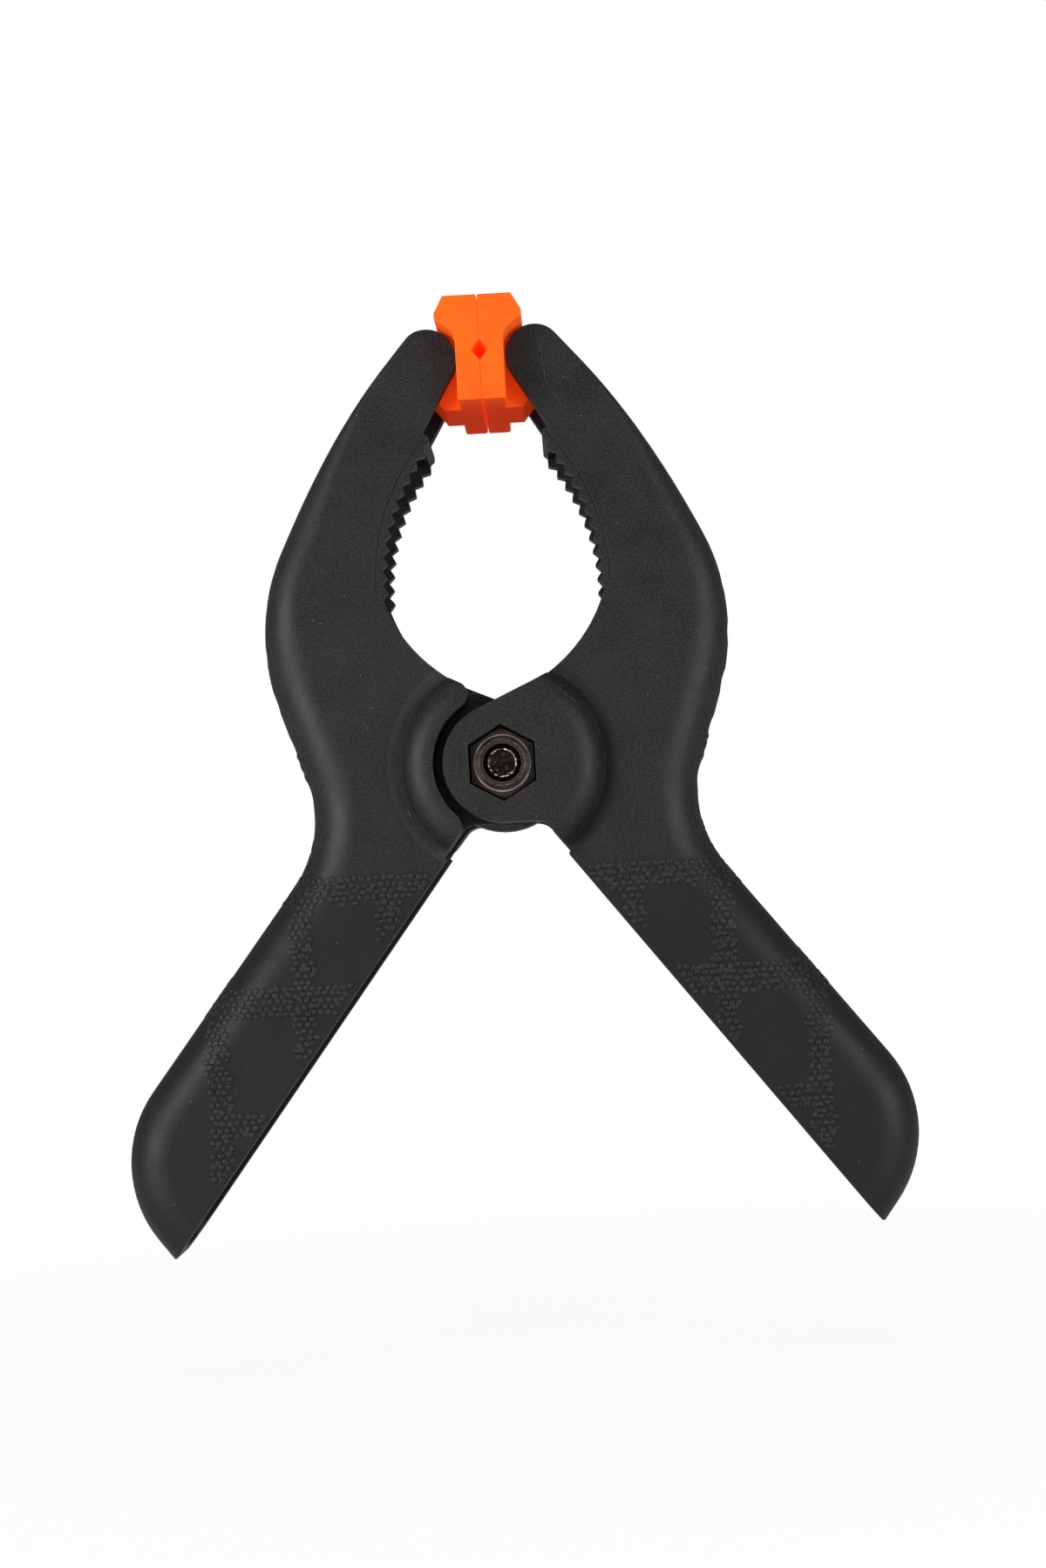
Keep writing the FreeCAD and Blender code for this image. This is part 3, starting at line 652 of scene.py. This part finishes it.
class AddGrip(bpy.types.Operator):
    """Sets small raised pebbles in strips across both handles"""

    bl_idname = "clamp.grip"
    bl_label = "Grip pattern"

    # The strips lie level and upright, in millimetres from the pivot. The rim is the handle's
    # inner edge, from which they run to the back, between the waist and the heel, and round it.
    levels = (-18.7, -36.0, -55.6)
    columns = (19.5, 33.7, 48.2)
    rim_start = (9.75, -14.7)
    rim_end = (57.6, -77.4)
    waist = (29.2, -10.1)
    heel = (69.3, -61.8)
    bottom = -66.5
    # The lowest level strip has this share of the others' width.
    last_share = 0.8
    # Rows lie closer than the pebbles of a row, and each pebble strays by this share.
    row_share = 0.86
    stray = 0.17
    # The net of places on a cheek starts here, in millimetres from the pivot, and has this many
    # rows and steps. The net on the back runs between these rows and steps from the waist.
    corner = (9, -68)
    rows, steps = 64, 48
    back_rows, back_steps = (-10, 60), (-8, 9)
    # How far outside the handle a ray starts.
    reach = 12 * MM
    # Each step of a pebble: its share of the height, and how much narrower it gets.
    profile = ((0.6, 0.93), (0.3, 0.8), (0.1, 0.55))
    # How deep a pebble is seated, and how low it is on the handle's back.
    seat = 0.05 * MM
    back_share = 0.4

    def execute(self, context):
        sizes = context.scene.clamp_grip
        pebble = self.model_pebble(sizes)
        self.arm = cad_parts["right_arm"]
        draw = random.Random(7)
        spots = self.cheek_spots(sizes, draw) + self.back_spots(sizes, draw)
        copies = [self.seat_copy(pebble, spot, sizes, draw) for spot in spots]
        bpy.data.objects.remove(pebble)
        pick(*copies)
        bpy.ops.object.join()
        right = settle(bpy.context.active_object, "right_grip")
        left = right.copy()
        left.data = right.data.copy()
        left.name = "left_grip"
        left.data.transform(HALF_TURN)
        context.scene.collection.objects.link(left)
        # Painted light: the pebbles get a paler copy of the arms' black.
        black = moulded_black("pebble_black", context.scene.clamp_arms, False, sizes.pale)
        for piece, body in ((right, "right_lever"), (left, "left_lever")):
            dress(piece, black)
            pick(piece)
            bpy.ops.object.shade_smooth_by_angle(angle=math.radians(50))
            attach(piece, body)
        deselect()
        return {"FINISHED"}

    def model_pebble(self, sizes):
        """One low pebble with a flattened top, seated slightly into the surface."""
        deselect()
        radius = sizes.pebble / 2
        bpy.ops.mesh.primitive_circle_add(vertices=9, radius=radius, fill_type="NGON",
                                          location=(0, 0, -self.seat))
        pebble = bpy.context.active_object
        bpy.ops.object.mode_set(mode="EDIT")
        bpy.ops.mesh.select_all(action="SELECT")
        sunk = self.seat
        for share, scale in self.profile:
            rise = {"value": (0, 0, sizes.height * share + sunk)}
            bpy.ops.mesh.extrude_region_move(TRANSFORM_OT_translate=rise)
            bpy.ops.transform.resize(value=(scale, scale, 1.0))
            sunk = 0.0
        bpy.ops.mesh.select_all(action="SELECT")
        bpy.ops.mesh.normals_make_consistent(inside=False)
        bpy.ops.object.mode_set(mode="OBJECT")
        return settle(pebble, "pebble")

    def seat_copy(self, pebble, spot, sizes, draw):
        """A copy of the pebble on its spot, turned and stretched at random."""
        place, normal = spot
        copy = pebble.copy()
        copy.data = pebble.data.copy()
        width = draw.uniform(0.82, 1.08)
        length = draw.uniform(0.85, 1.1)
        spin = Matrix.Rotation(draw.uniform(0, math.tau), 4, "Z")
        height = draw.uniform(0.7, 1.1)
        if abs(normal.y) <= sizes.side_limit:
            height *= self.back_share
        stretch = Matrix.Diagonal((width, length, height, 1.0))
        turn = normal.to_track_quat("Z", "Y").to_matrix().to_4x4()
        copy.data.transform(Matrix.Translation(place) @ turn @ spin @ stretch)
        bpy.context.scene.collection.objects.link(copy)
        return copy

    def cheek_spots(self, sizes, draw):
        """Where pebbles sit on the handle's two cheeks."""
        spots = []
        for side in (-1, 1):
            for x, z in self.scatter(sizes, draw):
                if self.in_pattern(x, z, sizes):
                    start = (x, side * self.reach, z)
                    spots.append(self.cast(start, (0, -side, 0), sizes.side_limit))
        return [spot for spot in spots if spot]

    def back_spots(self, sizes, draw):
        """Where pebbles sit on the handle's back."""
        waist = Vector((self.waist[0], 0, self.waist[1]))
        heel = Vector((self.heel[0], 0, self.heel[1]))
        down = (heel - waist).normalized()
        inward = Vector((down.z, 0, -down.x))
        corner = waist * MM + Vector((0, 0, PIVOT_Z))
        spots = []
        for along, y in self.scatter_back(sizes, draw):
            start = corner + down * along - inward * self.reach
            spot = self.cast((start.x, y, start.z), inward, -sizes.side_limit)
            if spot and self.in_pattern(spot[0].x, spot[0].z, sizes):
                spots.append(spot)
        return spots

    def jitter(self, draw, pitch):
        """How far a pebble strays from its place in the net."""
        return draw.uniform(-self.stray, self.stray) * pitch

    def scatter(self, sizes, draw):
        """Places in the outline plane, in staggered rows with a little disorder."""
        pitch = sizes.spacing
        left, low = self.corner
        places = []
        for row in range(self.rows):
            for step in range(self.steps):
                x = left * MM + (step + 0.5 * (row % 2)) * pitch + self.jitter(draw, pitch)
                z = low * MM + row * pitch * self.row_share + self.jitter(draw, pitch)
                places.append((x, PIVOT_Z + z))
        return places

    def scatter_back(self, sizes, draw):
        """Places down the back of the handle, as a distance from the waist and a level across."""
        pitch = sizes.spacing
        places = []
        for row in range(*self.back_rows):
            for step in range(*self.back_steps):
                along = row * pitch * self.row_share + self.jitter(draw, pitch)
                y = (step + 0.5 * (row % 2)) * pitch + self.jitter(draw, pitch)
                places.append((along, y))
        return places

    def in_pattern(self, x, z, sizes):
        """Whether a place of the outline plane lies in one of the strips."""
        x, z = x / MM, (z - PIVOT_Z) / MM
        (start_x, start_z), (end_x, end_z) = self.rim_start, self.rim_end
        run_x, run_z = end_x - start_x, end_z - start_z
        length = math.hypot(run_x, run_z)
        from_rim = ((x - start_x) * -run_z + (z - start_z) * run_x) / length
        if from_rim < sizes.margin / MM or z <= self.bottom:
            return False
        half_strip = sizes.strip / MM / 2
        half_column = sizes.column / MM / 2
        level = any(abs(z - centre) < half_strip for centre in self.levels[:2])
        last = abs(z - self.levels[2]) < half_strip * self.last_share and x < self.columns[2]
        upright = any(abs(x - centre) < half_column for centre in self.columns[1:])
        first = abs(x - self.columns[0]) < half_column and z < self.levels[0]
        return level or last or upright or first

    def cast(self, start, direction, limit):
        """Where a ray meets the arm: its place and normal, or None off the wanted faces."""
        hit, place, normal, face = self.arm.ray_cast(Vector(start), Vector(direction))
        if not hit:
            return None
        sideways = abs(normal.y)
        wanted = sideways > limit if limit > 0 else sideways <= -limit
        return (place, normal) if wanted else None


class DressPads(bpy.types.Operator):
    """Gives the jaw pads their orange plastic, with painted shade on their undersides and a painted
    glow
    """

    bl_idname = "clamp.pads"
    bl_label = "Jaw pads"

    def execute(self, context):
        sizes = context.scene.clamp_pads
        finish = new_finish("pad_orange")
        place = finish.place()
        cloud = finish.noise(place, sizes.cloud_size, 3.0)
        grain = finish.noise(place, sizes.grain_size, 2.0)
        shade = finish.mix(finish.ease(cloud, 0.3, 0.7), colour(sizes.deep), colour(sizes.orange))
        mark = finish.ease(finish.cells(place, sizes.mark_spacing), 0.03, 0.018)
        shade = finish.mix(mark * 0.5, shade, colour(sizes.mark))
        x, y, z = finish.axes(place)
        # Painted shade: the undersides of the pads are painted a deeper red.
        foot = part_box("right_pad")[0].z
        painted_underside_shade = finish.ease(z, foot + 0.15 * MM, foot + 0.05 * MM)
        shade = finish.mix(painted_underside_shade * 0.85, shade, colour(sizes.painted_underside_shade))
        # Painted light: the pads emit an orange glow, redder towards the middle of the clamp.
        inner = finish.ease(y, sizes.painted_glow_start, sizes.painted_glow_end)
        glow = finish.mix(inner, colour(sizes.glow), colour(sizes.painted_glow_inside))
        orange = finish.surface({
            "Base Color": shade,
            "Roughness": finish.ease(grain, 0.3, 0.7, 0.38, 0.5) + painted_underside_shade * 0.5,
            "Specular IOR Level": 0.14,
            "Subsurface Weight": 0.5,
            "Subsurface Radius": (1.0, 0.22, 0.04),
            "Subsurface Scale": 2.2 * MM,
            # The emission is painted light.
            "Emission Color": glow,
            "Emission Strength": sizes.painted_glow_strength,
            "Normal": finish.relief(grain, 0.12, 0.02 * MM, sizes.edge),
        })
        for node in ("left_pad", "right_pad"):
            dress(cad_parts[node], orange)
        return {"FINISHED"}


class DressPivot(bpy.types.Operator):
    """Finishes the bolt, the lock nut and the ring in it"""

    bl_idname = "clamp.pivot"
    bl_label = "Pivot"

    def execute(self, context):
        sizes = context.scene.clamp_pivot
        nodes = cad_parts
        dress(nodes["lock_nut"], self.nut_steel(sizes))
        dress(nodes["pivot_bolt"], self.bolt_steel(sizes))
        dress(nodes["nut_insert"], self.dark_ring(sizes))
        return {"FINISHED"}

    def dark_ring(self, sizes):
        """The cloudy dark nylon of the ring in the nut."""
        finish = new_finish("dark_ring")
        cloud = finish.noise(finish.place(), 0.8 * MM, 3.0)
        return finish.surface({
            "Base Color": finish.mix(cloud, colour(sizes.insert_dark), colour(sizes.insert_light)),
            "Roughness": 0.45,
            "Normal": finish.relief(cloud, 0.3, 0.05 * MM, 0.1 * MM),
        })

    def around(self, finish, place):
        """The distance from the pivot axis, and the level across the clamp."""
        x, y, z = finish.axes(place)
        return off_axis(x, z), y

    def ring(self, finish, radius, middle, half_width):
        """A soft ring about the pivot axis."""
        return finish.ease(abs(radius - middle), half_width, half_width * 0.25)

    def nut_steel(self, sizes):
        """Oily black-brown steel with painted highlights in rings where the nut's corners and its roll
        catch the light, and painted shade in its recess.
        """
        finish = new_finish("nut_steel")
        place = finish.place()
        radius, y = self.around(finish, place)
        cloud = finish.noise(place, 1.2 * MM, 4.0, 0.6)
        fine = finish.noise(place, 0.4 * MM, 3.0, 0.65)
        bright = colour(sizes.steel, 2.0)
        shade = finish.mix(finish.ease(cloud, 0.35, 0.65), colour(sizes.steel), bright)
        rust = finish.ease(fine * 0.5 + cloud * 0.5, 0.54, 0.62) * 0.4
        shade = finish.mix(rust, shade, colour(sizes.rust))
        corner = finish.ease(radius, sizes.outer_ring, sizes.outer_ring + 0.4 * MM)
        shade = finish.mix(corner, shade, colour(sizes.corner))
        # Painted shade: the steel is painted black towards the hole, where the recess lies in shade.
        recess = finish.ease(radius, sizes.recess[0], sizes.recess[1])
        shade = finish.mix(recess, shade, colour(sizes.black))
        # Painted highlights: thin bright rings at the nut's corners and at the mouth of its roll, on
        # its front only.
        outer = self.ring(finish, radius, sizes.outer_ring, sizes.outer_width)
        inner = self.ring(finish, radius, sizes.inner_ring, sizes.inner_width)
        outer = outer * finish.ease(fine, 0.26, 0.38)
        inner = inner * finish.ease(fine, 0.42, 0.58)
        painted_highlight = outer.math("MAXIMUM", inner * 0.22)
        deep, shallow = sizes.painted_highlight_depth
        painted_highlight = painted_highlight * finish.ease(y, sizes.front + deep, sizes.front + shallow)
        return finish.surface({
            "Base Color": finish.mix(painted_highlight, shade, colour(sizes.painted_highlight)),
            "Metallic": finish.ease(corner, 0.0, 1.0, 0.7, 0.35),
            "Specular IOR Level": 0.3,
            "Roughness": finish.ease(fine * 0.6 + cloud * 0.4, 0.3, 0.7, 0.3, 0.52),
            "Normal": finish.relief(fine * 0.6 + cloud * 0.4, 0.6, 0.12 * MM, 0.18 * MM),
        })

    def bolt_steel(self, sizes):
        """The bolt: a black, oily end with a broken rim of painted highlight and rusty specks."""
        finish = new_finish("bolt_steel")
        place = finish.place()
        radius, y = self.around(finish, place)
        cloud = finish.noise(place, 1.0 * MM, 4.0, 0.65)
        fine = finish.noise(place, 0.5 * MM, 3.0, 0.7)
        specks = finish.ease(fine, 0.6, 0.68) * finish.ease(radius, 0.9 * MM, 2.1 * MM, 0.3, 1.0)
        cloudy = finish.ease(cloud, 0.48, 0.66)
        shade = finish.mix(cloudy, colour(sizes.oil), colour(sizes.steel))
        shade = finish.mix(specks * 0.8, shade, colour(sizes.rust))
        # Painted highlight: a broken bright ring at the rim of the bolt's end, on its front only.
        rim = self.ring(finish, radius, sizes.bolt_rim, sizes.rim_width)
        rim = rim * finish.ease(fine, 0.46, 0.56) * finish.ease(y, 0.0, -1 * MM)
        shade = finish.mix(rim * 0.8, shade, colour(sizes.painted_highlight))
        return finish.surface({
            "Base Color": shade,
            "Metallic": finish.ease(specks, 0.0, 1.0, 0.8, 0.2),
            "Specular IOR Level": 0.25,
            "Roughness": finish.ease(cloud, 0.3, 0.7, 0.2, 0.45),
            "Normal": finish.relief(fine * 0.5 + cloud * 0.5, 1.0, 0.3 * MM, 0.15 * MM),
        })


class AddSpring(bpy.types.Operator):
    """Winds the torsion spring with a straight leg at each end"""

    bl_idname = "clamp.spring"
    bl_label = "Torsion spring"

    # Whole turns of the coil, beside the part turn that the direction of the legs leaves.
    turns = 2
    # Sides of the wire, and the parts that the coil and each leg are made of.
    sides = 16
    coil_parts = 96
    leg_parts = 12

    def execute(self, context):
        sizes = context.scene.clamp_spring
        deselect()
        start = sizes.leg_angle + math.pi / 2
        sweep = self.turns * math.tau + math.pi - 2 * start
        length = sizes.pitch * sweep / math.tau
        pivot = Vector((0, 0, PIVOT_Z))
        heading = Vector((math.cos(sizes.leg_angle), 0, math.sin(sizes.leg_angle)))
        root = Vector((math.cos(start), 0, math.sin(start))) * sizes.coil
        tip = pivot + root + heading * sizes.leg + Vector((0, -length / 2, 0))
        facing = heading.to_track_quat("Z", "Y").to_euler()
        bpy.ops.mesh.primitive_circle_add(vertices=self.sides, radius=sizes.wire / 2,
                                          fill_type="NGON", location=tip, rotation=facing)
        spring = bpy.context.active_object
        bpy.ops.object.mode_set(mode="EDIT")
        bpy.ops.mesh.select_all(action="SELECT")
        self.lengthen(heading * -sizes.leg)
        rise = {"value": (0, length / self.coil_parts, 0)}
        for part in range(self.coil_parts):
            bpy.ops.mesh.extrude_region_move(TRANSFORM_OT_translate=rise)
            bpy.ops.transform.rotate(value=sweep / self.coil_parts, orient_axis="Y",
                                     center_override=pivot)
        heading.x = -heading.x
        self.lengthen(heading * sizes.leg)
        bpy.ops.mesh.select_all(action="SELECT")
        bpy.ops.mesh.normals_make_consistent(inside=False)
        bpy.ops.object.mode_set(mode="OBJECT")
        spring = settle(spring, "spring_wire")
        pick(spring)
        bpy.ops.object.shade_smooth_by_angle(angle=math.radians(40))
        deselect()
        dress(spring, self.spring_steel(sizes))
        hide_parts("torsion_spring")
        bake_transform(spring)
        return {"FINISHED"}

    def lengthen(self, run):
        """Extrudes the wire's open end along a straight leg."""
        step = {"value": run / self.leg_parts}
        for part in range(self.leg_parts):
            bpy.ops.mesh.extrude_region_move(TRANSFORM_OT_translate=step)

    def spring_steel(self, sizes):
        """Dark spring wire with oily, cloudy tones."""
        finish = new_finish("spring_steel")
        place = finish.place()
        cloud = finish.noise(place, 1.6 * MM, 4.0, 0.6)
        fine = finish.noise(place, 0.3 * MM, 2.0)
        pale = colour(sizes.steel, 2.2)
        return finish.surface({
            "Base Color": finish.mix(finish.ease(cloud, 0.35, 0.7), colour(sizes.steel), pale),
            "Metallic": 0.9,
            "Roughness": finish.ease(cloud, 0.3, 0.7, 0.3, 0.48),
            "Normal": finish.relief(fine, 0.15, 0.03 * MM, 0.1 * MM),
        })


class ClampPanel(bpy.types.Panel):
    """Lists the steps that dress the clamp."""

    bl_idname = "VIEW3D_PT_clamp"
    bl_label = "Spring clamp"
    bl_space_type = "VIEW_3D"
    bl_region_type = "UI"
    bl_category = "Clamp"

    def draw(self, context):
        for name, group, step in GROUPS:
            box = self.layout.box()
            box.operator(step.bl_idname)
            sizes = getattr(context.scene, name)
            for key in group.__annotations__:
                box.prop(sizes, key)


GROUPS = [
    ("clamp_stage", StageSizes, BuildStage),
    ("clamp_arms", ArmSizes, DressArms),
    ("clamp_grip", GripSizes, AddGrip),
    ("clamp_pads", PadSizes, DressPads),
    ("clamp_pivot", PivotSizes, DressPivot),
    ("clamp_spring", SpringSizes, AddSpring),
]


def register():
    """Makes the sizes, the steps and the panel known."""
    for name, group, step in GROUPS:
        bpy.utils.register_class(group)
        bpy.utils.register_class(step)
        setattr(bpy.types.Scene, name, bpy.props.PointerProperty(type=group))
    bpy.utils.register_class(ClampPanel)


def unregister():
    """Takes them away again."""
    bpy.utils.unregister_class(ClampPanel)
    for name, group, step in reversed(GROUPS):
        delattr(bpy.types.Scene, name)
        bpy.utils.unregister_class(step)
        bpy.utils.unregister_class(group)


def main():
    """Dresses the clamp step by step."""
    register()
    bpy.ops.clamp.stage()
    bpy.ops.clamp.arms()
    bpy.ops.clamp.grip()
    bpy.ops.clamp.pads()
    bpy.ops.clamp.pivot()
    bpy.ops.clamp.spring()
    deselect()


if __name__ == "__main__":
    main()
